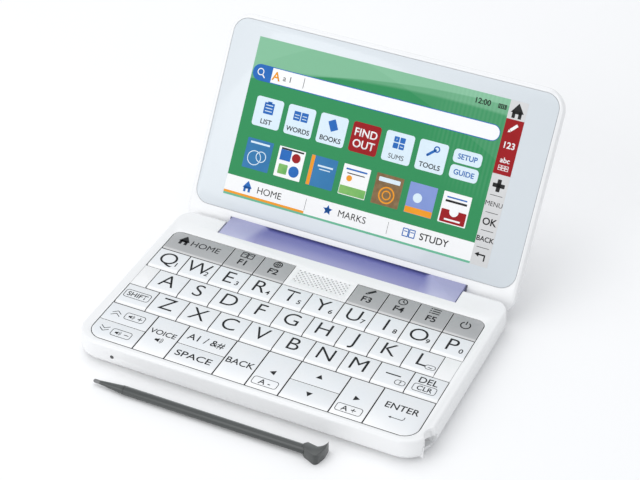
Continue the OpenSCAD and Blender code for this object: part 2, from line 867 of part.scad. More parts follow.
// The stylus lies on the front end of its shaft and on its head
module stylus() {
  collar = nib_l + stylus_nose_l + 0.4;
  head_start = stylus_l - head_reach - 1.2;
  tilt = atan((head_h / 2 - stylus_r) / (head_start - collar));
  color("#5e6664")
    translate([stylus_shift - stylus_l / 2, stylus_y, stylus_r * cos(tilt) - collar * sin(tilt)])
      rotate([0, -tilt, 0])
        union() {
          rotate([0, 90, 0])
            rotate_extrude($fn = round_fn)
              polygon(concat(
                [[0, 0]],
                arc([0, nib_r], nib_r, -90, 0, 4),
                [
                  [nib_r, nib_l],
                  [stylus_r - 0.15, nib_l + stylus_nose_l],
                  [stylus_r - 0.15, collar],
                  [stylus_r, collar],
                  [stylus_r, head_start + 1],
                  [0, head_start + 1]
                ]
              ));
          translate([0, 0, -head_h / 2])
            linear_extrude(head_h)
              polygon(head_outline());
        }
}

placed() base_top();
placed() base_bottom();
placed() key_mat();
placed() main_board();
placed() battery_pack();
placed() speaker();
placed() case_screws();
placed() rubber_feet();
placed() indicator_lens();
placed() hinge_pins();
placed() hinge_spine();
placed() lid_front();
placed() lid_back();
placed() touch_panel();
placed() display_panel();
placed() stylus();
for (k = KEYS)
  placed() color(k[5] == "function" ? "darkgray" : "aliceblue") key_cap(k);
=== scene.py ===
"""A pocket electronic dictionary, open on a table: white clamshell, keyboard deck, touch screen, stylus."""
import json
from math import cos, degrees, radians, sin

import bpy
from mathutils import Matrix, Vector


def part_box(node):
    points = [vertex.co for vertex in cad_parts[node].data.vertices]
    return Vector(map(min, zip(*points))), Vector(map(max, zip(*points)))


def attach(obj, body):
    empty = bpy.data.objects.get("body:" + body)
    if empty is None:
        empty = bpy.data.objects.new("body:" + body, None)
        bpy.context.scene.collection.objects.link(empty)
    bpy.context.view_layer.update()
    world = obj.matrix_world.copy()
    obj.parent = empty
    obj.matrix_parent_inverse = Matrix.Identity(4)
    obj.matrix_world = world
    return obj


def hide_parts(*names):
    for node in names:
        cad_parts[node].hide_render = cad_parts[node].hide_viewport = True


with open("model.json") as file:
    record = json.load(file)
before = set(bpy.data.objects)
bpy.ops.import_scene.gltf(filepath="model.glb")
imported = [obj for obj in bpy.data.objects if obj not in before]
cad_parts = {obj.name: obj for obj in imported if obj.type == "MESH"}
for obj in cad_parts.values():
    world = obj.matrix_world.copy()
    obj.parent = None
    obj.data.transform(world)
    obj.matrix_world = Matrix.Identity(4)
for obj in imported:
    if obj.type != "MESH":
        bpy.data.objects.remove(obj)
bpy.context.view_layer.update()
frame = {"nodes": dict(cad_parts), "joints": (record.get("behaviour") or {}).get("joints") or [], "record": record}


# ---- Camera ----
# A long lens in front of the object, to its right and well above it, as in the photograph.
# Its place and turn come from a fit to the corners of the keys, the deck and the screen.
mm = 0.001

bpy.ops.object.camera_add(
    location=(248.7 * mm, -534.7 * mm, 483.8 * mm),
    rotation=(radians(52.835), radians(-0.49), radians(25.16)),
)
camera = bpy.context.object
camera.data.sensor_width = 36
camera.data.lens = 104.2
bpy.context.scene.camera = camera


# ---- Studio ----
# A pale table top under soft light: a wide overhead box, a front box and an even sky.
# The shader tools stand here because the table top is the first thing with a finish.
class Wire:
    """One output inside a material. Sums and products of wires add the Math nodes they need."""

    def __init__(self, tree, socket):
        self.tree = tree
        self.socket = socket

    def node(self, kind, inputs=(), settings=(), output=0):
        """Adds a node, makes its settings, fills its inputs with numbers or wires, gives one output."""
        made = self.tree.nodes.new("ShaderNode" + kind)
        for name, value in dict(settings).items():
            setattr(made, name, value)
        for name, value in dict(inputs).items():
            if isinstance(value, Wire):
                self.tree.links.new(value.socket, made.inputs[name])
            else:
                made.inputs[name].default_value = value
        return Wire(self.tree, made.outputs[output])

    def maths(self, operation, first, second=0.0):
        return self.node("Math", {0: first, 1: second}, {"operation": operation})

    def __add__(self, other):
        return self.maths("ADD", self, other)

    def __sub__(self, other):
        return self.maths("SUBTRACT", self, other)

    def __rsub__(self, other):
        return self.maths("SUBTRACT", other, self)

    def __mul__(self, other):
        return self.maths("MULTIPLY", self, other)

    __radd__ = __add__
    __rmul__ = __mul__

    def above(self, level):
        return self.maths("GREATER_THAN", self, level)

    def step(self, low, high):
        """0 below low, 1 above high, smooth between them"""
        settings = {"interpolation_type": "SMOOTHSTEP"}
        return self.node("MapRange", {"Value": self, "From Min": low, "From Max": high}, settings)

    def tint(self, first, second):
        """The first colour where this wire is 0, the second where it is 1, and a mix between them"""
        return self.node("Mix", {0: self, 6: first, 7: second}, {"data_type": "RGBA"}, output=2)

    def noise(self, size, detail=2.0):
        """Cloudy noise with lumps of about this size in metres, on a vector wire"""
        return self.node("TexNoise", {"Vector": self, "Scale": 1 / size, "Detail": detail})

    def axis(self, name):
        return self.node("SeparateXYZ", {0: self}, output="XYZ".index(name))

    def facing(self, name):
        """How far the surface faces along an axis: 1 along it, 0 across it, -1 against it"""
        return self.node("TexCoord", output=1).axis(name)

    def bump(self, depth):
        """A surface normal from this wire's height, where 1 stands for this depth in metres"""
        return self.node("Bump", {"Height": self, "Distance": depth, "Strength": 1.0})


def new_finish(name, fixed):
    """A Principled material: gives it, its wire of Object coordinates and a way to feed its shader"""
    material = bpy.data.materials.new(name)
    material.use_nodes = True
    tree = material.node_tree
    shader = tree.nodes["Principled BSDF"]
    for socket, value in fixed.items():
        shader.inputs[socket].default_value = value
    coordinates = tree.nodes.new("ShaderNodeTexCoord")

    def feed(socket, wire):
        tree.links.new(wire.socket, shader.inputs[socket])

    return material, Wire(tree, coordinates.outputs["Object"]), feed


def grey(level, blue=0.0):
    """A neutral colour, or a slightly blue one"""
    return (level - blue, level, level + blue, 1.0)


def soft_box(name, place, aim, size, power):
    bpy.ops.object.light_add(type="AREA", location=place)
    light = bpy.context.object
    light.name = name
    light.rotation_euler = (Vector(aim) - Vector(place)).to_track_quat("-Z", "Y").to_euler()
    light.data.size = size
    light.data.energy = power


world = bpy.data.worlds.new("studio")
world.use_nodes = True
sky = world.node_tree.nodes["Background"].inputs
sky["Color"].default_value = (0.95, 0.97, 1.0, 1.0)
sky["Strength"].default_value = 0.72
bpy.context.scene.world = world
bpy.context.scene.view_settings.view_transform = "Standard"

soft_box("overhead_box", place=(-0.25, 0.15, 1.1), aim=(0, 0, 0), size=1.0, power=4.0)
soft_box("front_box", place=(-0.5, -0.9, 0.5), aim=(0, 0, 0.02), size=0.8, power=3.5)

table_w = 4
bpy.ops.mesh.primitive_plane_add(size=table_w)
floor = bpy.context.object
floor.name = "table_top"
floor_white, place, feed = new_finish("table_paper", {"Roughness": 0.8})
feed("Base Color", place.noise(0.12).tint(grey(0.96), grey(0.98)))
floor.data.materials.append(floor_white)


# ---- Housing ----
# Two shells of gloss white plastic, moulded and clipped together, with four screws from below.
# The deck shell carries the speaker grille, the two fixed blanks and the ears of the hinge.
# in millimetres and degrees
join_gap = 0.002
flat_angle = 0.3
sharp_angle = 40
smooth_angle = 32
bevel_steps = 2


def pick(*pieces):
    """Selects these pieces and nothing else, the first as the active one"""
    bpy.ops.object.select_all(action="DESELECT")
    for piece in pieces:
        piece.select_set(True)
    bpy.context.view_layer.objects.active = pieces[0]


def finished(piece, body, material):
    piece.data.materials.clear()
    piece.data.materials.append(material)
    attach(piece, body)


def moulding(node, body, material, edge):
    """A copy of a CAD piece with its points joined, its sharp edges eased and its curves smooth"""
    piece = bpy.data.objects.new(node + "_moulding", frame["nodes"][node].data.copy())
    bpy.context.scene.collection.objects.link(piece)
    pick(piece)
    bpy.ops.object.mode_set(mode="EDIT")
    bpy.ops.mesh.select_all(action="SELECT")
    bpy.ops.mesh.remove_doubles(threshold=join_gap * mm)
    bpy.ops.mesh.dissolve_limited(angle_limit=radians(flat_angle))
    bpy.ops.object.mode_set(mode="OBJECT")
    if edge:
        round_over = piece.modifiers.new("edges", "BEVEL")
        round_over.width = edge * mm
        round_over.segments = bevel_steps
        round_over.limit_method = "ANGLE"
        round_over.angle_limit = radians(sharp_angle)
        bpy.ops.object.modifier_apply(modifier=round_over.name)
    bpy.ops.object.shade_smooth_by_angle(angle=radians(smooth_angle))
    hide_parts(node)
    finished(piece, body, material)


# a faint flow in the colour, an uneven gloss and a slight orange peel
housing_white, place, feed = new_finish("housing_white", {"Coat Weight": 0.3, "Coat Roughness": 0.08})
feed("Base Color", place.noise(28 * mm, 3).tint(grey(0.85, 0.003), grey(0.89, 0.003)))
feed("Roughness", 0.28 + place.noise(6 * mm) * 0.08)
feed("Normal", place.noise(0.9 * mm, 1).bump(0.004 * mm))
moulding("base_top", "base", housing_white, 0.1)
moulding("base_bottom", "base", housing_white, 0.0)


# ---- Stylus pocket ----
# The thin white lining of the pocket in the right wall, where the stylus's head goes. A finger bite is
# cut down through it, and the store for the shaft, which the CAD has as a mount, opens in its inner wall.
store = next(m for m in frame["record"]["mounts"] if m["name"] == "stylus_silo")
store_place = Vector(store["pos_m"]) / mm
store_r = store["dims"]["r_mm"]
lining = 0.5
play = 0.2
head_front = 3.8
head_fin = 5.4
head_half_h = 2.4
right_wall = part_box("base_bottom")[1].x / mm
pocket_x = (right_wall - 7.5, right_wall - 1.7)
pocket_y = (store_place.y - head_front - play, store_place.y + head_fin + play)
pocket_z = (store_place.z - head_half_h - play, store_place.z + head_half_h + play)
bite_x = right_wall + 0.9
bite_r = 4.0
under_deck = 9.35
sunk_in = 0.2
cutter_reach = 10
past_wall = right_wall + cutter_reach
cut_y = (store_place.y - cutter_reach, store_place.y + cutter_reach)
cut_z = (0, 12)
rod_sides = 48


def in_place(made, name):
    """Names a new solid, and puts its place, turn and size into its mesh"""
    made.name = name
    pick(made)
    bpy.ops.object.transform_apply(location=True, rotation=True, scale=True)
    return made


def block(name, x, y, z):
    """A block between two values on each axis"""
    bpy.ops.mesh.primitive_cube_add(size=1)
    made = bpy.context.object
    made.scale = ((x[1] - x[0]) * mm, (y[1] - y[0]) * mm, (z[1] - z[0]) * mm)
    made.location = ((x[0] + x[1]) / 2 * mm, (y[0] + y[1]) / 2 * mm, (z[0] + z[1]) / 2 * mm)
    return in_place(made, name)


def rod(name, radius, ends, place, turn=0):
    """A round rod that reaches from one end to the other: upright, or along X with a turn of 90"""
    low, high = ends
    bpy.ops.mesh.primitive_cylinder_add(vertices=rod_sides, radius=radius * mm, depth=(high - low) * mm)
    made = bpy.context.object
    middle = (low + high) / 2
    made.location = Vector((middle, *place) if turn else (*place, middle)) * mm
    made.rotation_euler = (0, radians(turn), 0)
    return in_place(made, name)


def combine(piece, other, operation):
    change = piece.modifiers.new("combine", "BOOLEAN")
    change.operation = operation
    change.object = other
    pick(piece)
    bpy.ops.object.modifier_apply(modifier=change.name)
    bpy.data.objects.remove(other)


pocket = block("stylus_pocket", pocket_x, pocket_y, pocket_z)
hollow = block("hollow", (pocket_x[0] + lining, past_wall), (pocket_y[0] + lining, pocket_y[1] - lining),
               (pocket_z[0] + lining, pocket_z[1] - lining))
combine(pocket, hollow, "DIFFERENCE")
bite_place = (bite_x, store_place.y)
wall = rod("wall", bite_r + lining, (pocket_z[1] - sunk_in, under_deck), bite_place)
combine(wall, block("past_the_pocket", (pocket_x[1], past_wall), cut_y, cut_z), "DIFFERENCE")
combine(pocket, wall, "UNION")
combine(pocket, rod("bite", bite_r, cut_z, bite_place), "DIFFERENCE")
store_ends = (pocket_x[0] - 2 * lining, pocket_x[0] + 2 * lining)
store_rod = rod("store", store_r, store_ends, (store_place.y, store_place.z), 90)
combine(pocket, store_rod, "DIFFERENCE")
finished(pocket, "base", housing_white)


# ---- Key caps ----
# Satin caps of white and grey plastic, each moulded by itself and held up by a dome of the rubber mat.
# Letter caps have a sloped front, painted paler than the top as a painted highlight, and the front row of caps is
# flat. The sides of the caps and the foot of each slope are painted near black as painted shadow in the gaps
# between caps.
GREY_KEYS = ["home_key"] + [f"mode_key_{n}" for n in range(1, 6)] + ["power_key"]
FLAT_KEYS = [
    "volume_key", "voice_key", "space_key", "back_key", "left_key", "up_down_key", "right_key", "enter_key",
]
cap_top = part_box("key_a")[1].z / mm
# the slope heights also set the line under the cap top below which the caps take painted shadow, and foot_blur
# softens that line
letter_slope_h = 0.58
grey_slope_h = 0.38
flat_edge_h = 0.1
foot_blur = 0.02
cap_edge = 0.08


def cap_plastic(name, top, slope, shade_line_depth):
    """Fine-grained cap plastic: a flat top, a front slope in a paler painted highlight, and painted shadow on the
    sides and on all that lies lower than the given depth under the cap top
    """
    material, place, feed = new_finish(name, {"Coat Weight": 0.15, "Coat Roughness": 0.2})
    cloud = place.noise(9 * mm, 3)
    faces_up = place.facing("Z")
    on_top = faces_up.step(0.955, 0.995)
    # painted shadow: faces turned to the side, and all that lies below the foot of the front slope, are painted
    # near black for the shade in the gaps between caps
    not_a_side = faces_up.step(0.45, 0.9)
    foot = cap_top - shade_line_depth
    above_foot = place.axis("Z").step((foot - foot_blur) * mm, (foot + foot_blur) * mm)
    clear_of_painted_shade = place.maths("MINIMUM", not_a_side, above_foot)
    # painted highlight: every face but the flat top takes the paler slope colour, where the slope catches the
    # light
    colour = on_top.tint(slope, cloud.tint(top, grey(top[1] + 0.02, 0.005)))
    feed("Base Color", clear_of_painted_shade.tint(grey(0.03), colour))
    feed("Roughness", 0.36 + cloud * 0.08)
    feed("Normal", place.noise(0.35 * mm, 2).bump(0.003 * mm))
    return material


top_white = (0.76, 0.80, 0.835, 1)
top_grey = (0.37, 0.38, 0.385, 1)
# the slope colours are painted highlights, the cap plastic painted paler where the front slope catches the light
slope_highlight_white = grey(0.94)
slope_highlight_grey = grey(0.60)
key_white = cap_plastic("key_white", top_white, slope_highlight_white, letter_slope_h)
key_flat = cap_plastic("key_flat", top_white, slope_highlight_white, flat_edge_h)
key_grey = cap_plastic("key_grey", top_grey, slope_highlight_grey, grey_slope_h)
for key in [j["child"] for j in frame["joints"] if j["child"] not in ("lid", "stylus")]:
    if key in GREY_KEYS:
        moulding(key, key, key_grey, cap_edge)
    else:
        moulding(key, key, key_flat if key in FLAT_KEYS else key_white, cap_edge)


# ---- Key legends ----
# Pad-printed in dark ink on the caps: plain letters, digits and signs, and a grey hairline at the outer
# end of each fixed blank. The places of the marks are in millimetres from the middle of the cap.
ink_thick = 0.035
line_thick = 0.03
sunk = 0.005
mark_gap = 0.001
letter_h = 7.1
label_h = 3.2
mode_h = 3.3
arrow_r = 1.6
frame_line = 0.26
frame_corner = 1.2
chevron_line = 0.3

# letter weights: how far the outline is drawn in, or let out where it is below zero
fine = 0.05
plain = 0.0
medium = -0.04
firm = -0.05
strong = -0.06
bold = -0.08
heavy = -0.10


def flattened(mark, x, y, turn=0.0):
    """Puts the place and turn of a flat mark into its mesh"""
    mark.location = (x * mm, y * mm, 0)
    mark.rotation_euler = (0, 0, radians(turn))
    pick(mark)
    bpy.ops.object.transform_apply(location=True, rotation=True, scale=True)
    return mark


def word(letters, x, y, height, thin=plain, stretch=1.0):
    """Flat lettering centred on x and y, with capitals of this height"""
    capital_share = 0.682
    if "M" in letters:
        thin = max(thin, plain)  # an M closes up where it is bolder
    bpy.ops.object.text_add()
    text = bpy.context.object
    text.data.body = letters
    text.data.size = height * mm / capital_share
    text.data.offset = -thin * mm
    text.data.align_x = "CENTER"
    text.scale.x = stretch
    pick(text)
    bpy.ops.object.convert(target="MESH")
    return flattened(bpy.context.object, x, y - height / 2)


def plate(x, y, width, depth, corner=0.0, turn=0.0):
    """A flat rectangle centred on x and y, with its corners rounded where a radius is given"""
    bpy.ops.mesh.primitive_plane_add(size=1)
    mark = bpy.context.object
    mark.scale = (width * mm, depth * mm, 1)
    pick(mark)
    bpy.ops.object.transform_apply(location=True, rotation=True, scale=True)
    if corner:
        bpy.ops.object.mode_set(mode="EDIT")
        bpy.ops.mesh.select_all(action="SELECT")
        bpy.ops.mesh.bevel(offset=corner * mm, segments=5, affect="VERTICES")
        bpy.ops.object.mode_set(mode="OBJECT")
    return flattened(mark, x, y, turn)


def disc(x, y, radius, sides=28, turn=0.0, stretch=1.0):
    """A flat round, or a regular figure of fewer sides"""
    bpy.ops.mesh.primitive_circle_add(vertices=sides, radius=radius * mm, fill_type="NGON")
    mark = bpy.context.object
    mark.scale.x = stretch
    return flattened(mark, x, y, turn)


def arrow(x, y, radius, turn=0):
    """A solid arrow head that points up, or is turned to the left from there"""
    return disc(x, y, radius, 3, turn)


def outline(mark, width):
    """Leaves only a border of this width of a flat mark"""
    pick(mark)
    bpy.ops.object.mode_set(mode="EDIT")
    bpy.ops.mesh.select_all(action="SELECT")
    bpy.ops.mesh.inset(thickness=width * mm)
    bpy.ops.mesh.delete(type="FACE")
    bpy.ops.object.mode_set(mode="OBJECT")
    return mark


def strokes(points, width):
    """A pen line through these points, with round joints"""
    joint_sides = 10
    marks = [disc(x, y, width / 2, joint_sides) for x, y in points]
    for (x1, y1), (x2, y2) in zip(points, points[1:]):
        run = Vector((x2 - x1, y2 - y1, 0))
        turn = Vector((1, 0, 0)).rotation_difference(run).to_euler().z
        marks.append(plate((x1 + x2) / 2, (y1 + y2) / 2, run.length, width, turn=degrees(turn)))
    return marks


def arc(x, y, radius, first, last, steps, width):
    """A pen line along a circle, from the first angle to the last in degrees"""
    turns = [radians(first + (last - first) * n / steps) for n in range(steps + 1)]
    return strokes([(x + radius * cos(t), y + radius * sin(t)) for t in turns], width)


def each_mark(marks):
    """The flat marks of a sign, out of the lists within lists that make it up"""
    for mark in marks:
        if isinstance(mark, list):
            yield from each_mark(mark)
        else:
            yield mark


def printed(name, marks, place, thick, body, material):
    """Joins flat marks into one thin solid, and sets it in its place"""
    flat = list(each_mark(marks))
    pick(*flat)
    if len(flat) > 1:
        bpy.ops.object.join()
    piece = bpy.context.object
    piece.name = name
    bpy.ops.object.mode_set(mode="EDIT")
    bpy.ops.mesh.select_all(action="SELECT")
    bpy.ops.mesh.remove_doubles(threshold=mark_gap * mm)
    bpy.ops.object.mode_set(mode="OBJECT")
    solid = piece.modifiers.new("thickness", "SOLIDIFY")
    solid.thickness = thick * mm
    solid.offset = 1
    bpy.ops.object.modifier_apply(modifier=solid.name)
    piece.data.transform(place)
    finished(piece, body, material)


def house(x, y, size):
    roof = disc(x, y + 0.16 * size, 0.5 * size, 3, 0, 1.2)
    walls = [plate(x + side * 0.25 * size, y - 0.26 * size, 0.26 * size, 0.48 * size) for side in (-1, 1)]
    over_door = plate(x, y - 0.06 * size, 0.6 * size, 0.22 * size)
    return [roof, walls, over_door]


def speaker_sign(x, y, size):
    magnet = plate(x - 0.32 * size, y, 0.3 * size, 0.36 * size)
    cone = arrow(x - 0.12 * size, y, 0.42 * size, 90)
    near_wave = arc(x, y, 0.36 * size, -50, 50, 5, 0.09 * size)
    far_wave = arc(x, y, 0.58 * size, -50, 50, 6, 0.09 * size)
    return [magnet, cone, near_wave, far_wave]


def chevrons(x, y, up):
    """Two chevrons, one above the other, that point up with 1 and down with -1"""
    half_w = 1.9
    foot = y - up * 0.9
    tip = y + up * 0.5
    return [strokes([(x - half_w, foot + lift), (x, tip + lift), (x + half_w, foot + lift)], chevron_line)
            for lift in (-0.7, 0.9)]


def border(x, y, width, depth):
    return outline(plate(x, y, width, depth, frame_corner), frame_line)


def framed(letters, x, y, width, depth, height):
    """A word in a thin frame with round corners"""
    return [border(x, y, width, depth), word(letters, x, y, height, medium)]


def book(x, y):
    page_x = 1.45
    pages = [outline(plate(x + side * page_x, y, 2.8, 3.6, 0.3), 0.42) for side in (-1, 1)]
    return pages + [plate(x + side * page_x, y + 0.5, 1.5, 0.4) for side in (-1, 1)]


def globe(x, y):
    across = plate(x, y, 3.5, 0.36)
    upright = plate(x, y, 0.36, 3.5)
    return [outline(disc(x, y, 2.0), 0.42), across, upright, outline(disc(x, y, 1.95, stretch=0.5), 0.3)]


def clock_sign(x, y):
    return [outline(disc(x, y, 2.0), 0.45), strokes([(x, y + 1.1), (x, y), (x + 0.9, y - 0.4)], 0.42)]


def list_sign(x, y):
    return [[plate(x - 1.9, y + lift, 0.6, 0.6), plate(x + 0.5, y + lift, 3.4, 0.55)]
            for lift in (-1.35, 0, 1.35)]


def pencil_sign(x, y):
    return [plate(x + 0.25, y + 0.25, 3.6, 1.2, turn=45), arrow(x - 1.45, y - 1.45, 0.75, 135)]


legend_ink, place, feed = new_finish("legend_ink", {"Roughness": 0.5, "Specular IOR Level": 0.2})
feed("Base Color", place.noise(1.5 * mm).tint(grey(0.010, 0.001), grey(0.016, 0.002)))


def print_legend(key, *marks):
    """Prints marks on the flat top of a cap"""
    low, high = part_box(key)
    middle = Matrix.Translation(((low.x + high.x) / 2, (low.y + high.y) / 2, high.z - sunk * mm))
    printed("legend_" + key, marks, middle, ink_thick, key, legend_ink)


print_legend("home_key", house(-7.5, 1.5, 5.0), word("HOME", 2.6, 1.3, mode_h))
for number, sign in enumerate((book, globe, pencil_sign, clock_sign, list_sign), 1):
    print_legend(f"mode_key_{number}", sign(0, 4.0), word(f"F{number}", 0, -0.9, mode_h, heavy))
print_legend("power_key", arc(0, 1.2, 2.0, 125, 415, 14, 0.5), plate(0, 2.7, 0.5, 2.2))
print_legend("shift_key", framed("SHIFT", -0.1, 0.8, 11.6, 4.9, height=2.5))
print_legend("dash_key", plate(-0.1, 1.45, 6.3, 0.6), framed("?", 4.0, -1.9, 4.4, 2.9, 1.9))
clear_sign = framed("CLR", -0.2, -1.2, 9.7, 4.4, 2.4)
print_legend("delete_key", word("DEL", -0.3, 3.4, label_h, medium), clear_sign)


def volume_end(up, chevron_x, chevron_y, y):
    """One end of the volume cap: chevrons, and a framed speaker with a minus beside it"""
    return [chevrons(chevron_x, chevron_y, up), border(2.5, y, 8.9, 4.3), speaker_sign(0.9, y, 2.4),
            plate(4.8, y, 2.0, 0.35)]


louder_y = 5.6
louder = [volume_end(1, -5.6, 5.4, louder_y), plate(4.8, louder_y, 0.35, 2.0)]
print_legend("volume_key", louder, volume_end(-1, -5.4, -5.2, -5.3))
print_legend("voice_key", word("VOICE", -0.2, 2.3, 2.7, medium), speaker_sign(-0.1, -2.1, 3.2))
signs_word = word("A1 / &#", -0.3, 5.5, 3.4, medium)
print_legend("space_key", signs_word, word("SPACE", -0.4, -5.2, label_h, medium, 1.2))
print_legend("back_key", word("BACK", -0.2, -0.3, label_h, medium))
print_legend("left_key", arrow(0, 0.2, arrow_r, 90), framed("A -", -0.4, -6.4, 10.8, 4.5, 2.7))
print_legend("right_key", arrow(-0.4, 0.5, arrow_r, -90), framed("A +", -0.4, -6.3, 10.8, 4.5, 2.7))
print_legend("up_down_key", arrow(-0.3, 5.4, arrow_r), arrow(-0.1, -4.9, arrow_r, 180))
return_line = strokes([(3.0, -1.5), (3.0, -2.6), (2.4, -3.3), (-2.2, -3.3)], 0.3)
print_legend("enter_key", word("ENTER", 0, 2.8, label_h, medium), return_line, arrow(-2.4, -3.3, 0.7, 90))


def print_letter(capital, *extra):
    """Prints a capital on its cap, with any smaller marks beside it"""
    print_legend("key_" + capital.lower(), word(capital, -0.4, 1.2, letter_h, fine), *extra)


for number, capital in enumerate("QWERTYUIOP", 1):
    digit = str(number % 10)
    print_letter(capital, word(digit, 4.2, -1.2, 2.5, firm))
for capital in "ASDFGHJK":
    print_letter(capital)
print_letter("L", framed("~", 4.1, -2.0, 4.4, 2.7, 2.2))
for capital in "ZXCVBNM":
    print_letter(capital)

# the hairlines stand beside the second row of letters, in line with the ends of the first
hairline, place, feed = new_finish("hairline", {"Roughness": 0.5})
feed("Base Color", place.noise(2 * mm).tint(grey(0.42), grey(0.5)))
row_low, row_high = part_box("key_a")
row_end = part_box("key_p")[1].x / mm + 0.1
row_y = (row_low.y + row_high.y) / 2 / mm
row_depth = (row_high.y - row_low.y) / mm
hairline_w = 0.22
ends = [plate(side * row_end, row_y, hairline_w, row_depth + 0.3) for side in (-1, 1)]
deck_top = Matrix.Translation((0, 0, row_high.z - sunk * mm))
printed("blank_hairlines", ends, deck_top, line_thick, "base", hairline)


# ---- Hinge spine ----
# One long moulding in pearl lavender, screwed to the lid, that turns on two steel pins.
# Its inner face has a long hollow with slanted ends; the colour of that face carries painted shade, darker in the
# hollow and darker towards the lid, with the raised ends paler as a painted highlight. The outside is plain.
spine_pearl, place, feed = new_finish("spine_pearl", {"Coat Weight": 0.35, "Coat Roughness": 0.15})
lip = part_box("hinge_spine")[0].y + 0.4 * mm
painted_shade_run = 13 * mm
hollow_end = 39.5 * mm
rim = 44 * mm
slant = 0.35
# painted light and shade: the front tones are lit, the back tones are painted shade under the lid, and the rim
# tones are paler than the hollow's as a painted highlight on the raised ends
hollow_front_lit = (0.36, 0.36, 0.60, 1)
hollow_back_painted_shade = (0.13, 0.14, 0.40, 1)
rim_front_painted_highlight = (0.46, 0.47, 0.66, 1)
rim_back_painted_shade = (0.34, 0.35, 0.58, 1)
across = place.axis("X")
back = place.axis("Y")
# painted shade that deepens from the front lip up towards the lid
painted_shade_towards_lid = back.step(lip - 0.25 * painted_shade_run, lip + painted_shade_run)
from_middle = place.maths("ABSOLUTE", across) + (back - lip) * slant
in_hollow = 1 - from_middle.step(hollow_end, rim)
hollow_painted_shading = painted_shade_towards_lid.tint(hollow_front_lit, hollow_back_painted_shade)
rim_painted_shading = painted_shade_towards_lid.tint(rim_front_painted_highlight, rim_back_painted_shade)
outside = place.noise(20 * mm).tint((0.32, 0.33, 0.58, 1), (0.36, 0.37, 0.62, 1))
inner_face = place.facing("Z").step(0.0, 0.25)
feed("Base Color", inner_face.tint(outside, in_hollow.tint(rim_painted_shading, hollow_painted_shading)))
feed("Roughness", 0.3 + place.noise(0.5 * mm) * 0.15)
feed("Normal", place.noise(0.25 * mm, 1).bump(0.002 * mm))
moulding("hinge_spine", "lid", spine_pearl, 0.25)


# ---- Lid ----
# A frame and a back shell of the same gloss white, moulded and snapped together round the display.
# The touch panel fills the frame: clear film with a pale border printed on its back.
moulding("lid_front", "lid", housing_white, 0.1)
moulding("lid_back", "lid", housing_white, 0.1)

touch_film, place, feed = new_finish("touch_film", {"Coat Weight": 0.6, "Coat Roughness": 0.05})
feed("Base Color", place.noise(40 * mm).tint((0.68, 0.73, 0.765, 1), (0.72, 0.765, 0.80, 1)))
feed("Roughness", 0.22 + place.noise(15 * mm) * 0.05)
moulding("touch_panel", "lid", touch_film, 0.12)


# ---- Screen picture ----
# The lit display: a plain home page of generic signs, cards and bars, in thin layers on the glass.
# It is laid out in millimetres, across from the middle of the display and up from its lower edge.
display_w = 121.4
display_h = 68.95
strip_left = 53.0
layer = 0.02
foot_from_hinge = 14.4
glass_from_hinge = 3.4

# the picture's frame is found on the shut lid, and then opens with the lid about the hinge
lid_joint = next(j for j in frame["joints"] if j["name"] == "lid_hinge")
hinge = Vector(lid_joint["pos_m"])
opening = radians(lid_joint["range_deg"][0])
opened = Matrix.Translation(hinge) @ Matrix.Rotation(opening, 4, "X") @ Matrix.Translation(-hinge)
foot = Matrix.Translation((0, hinge.y - foot_from_hinge * mm, hinge.z + glass_from_hinge * mm))
on_glass = opened @ foot @ Matrix.Rotation(radians(180), 4, "X")


def lit_finish(name, glow=0.05):
    """A finish of the lit display: gives it, its Object coordinates and a way to colour and light it"""
    material, place, feed = new_finish(
        name, {"Roughness": 0.5, "Specular IOR Level": 0.1, "Emission Strength": glow}
    )

    def light(colour):
        feed("Base Color", colour)
        feed("Emission Color", colour)

    return material, place, light


def lit(name, dark, bright, size=4.0, glow=0.05):
    """A lit colour with clouds of this size in millimetres in it"""
    material, place, light = lit_finish(name, glow)
    light(place.noise(size * mm, 1).tint(dark, bright))
    return material


def on_screen(name, level, marks, material):
    """Lays marks on the glass as one piece, on this layer of the picture"""
    lift = Matrix.Translation((0, 0, level * layer * mm))
    printed(name, marks, on_glass @ lift, layer, "lid", material)


# the ground: green, with a pale sweep in its upper part and fine stripes near the right-hand corner
ground_w = display_w / 2 + strip_left
ground_x = strip_left - ground_w / 2
ground_green, place, light = lit_finish("ground_green")
across = place.axis("X")
up = (place.axis("Z") - on_glass.translation.z) * (1 / sin(-opening))


def circle(x, y, radius, soft):
    """1 inside a circle on the screen, 0 outside, with a soft edge"""
    reach = (across - x * mm) * (across - x * mm) + (up - y * mm) * (up - y * mm)
    return 1 - place.maths("POWER", reach, 0.5).step((radius - soft) * mm, radius * mm)


def sweep_band(x, y, radius, soft, strength):
    """The ground outside a great circle, made paler by this strength"""
    return (1 - circle(x, y, radius, soft)) * strength


stripes = place.node("TexWave", {"Vector": place, "Scale": 170.0}, {"bands_direction": "X"}, output=1)
sweep = sweep_band(30, -400, 463.5, 1.5, 0.27) + sweep_band(45, -300, 366.5, 0.6, 0.26)
sweep = sweep + sweep_band(20, -60, 141, 0.6, 0.05) + sweep_band(-120, -300, 385, 0.6, 0.06)
sweep = sweep + stripes * circle(48, 52, 30, 12) * 0.06
light(sweep.tint((0.036, 0.265, 0.100, 1), (0.37, 0.66, 0.47, 1)))

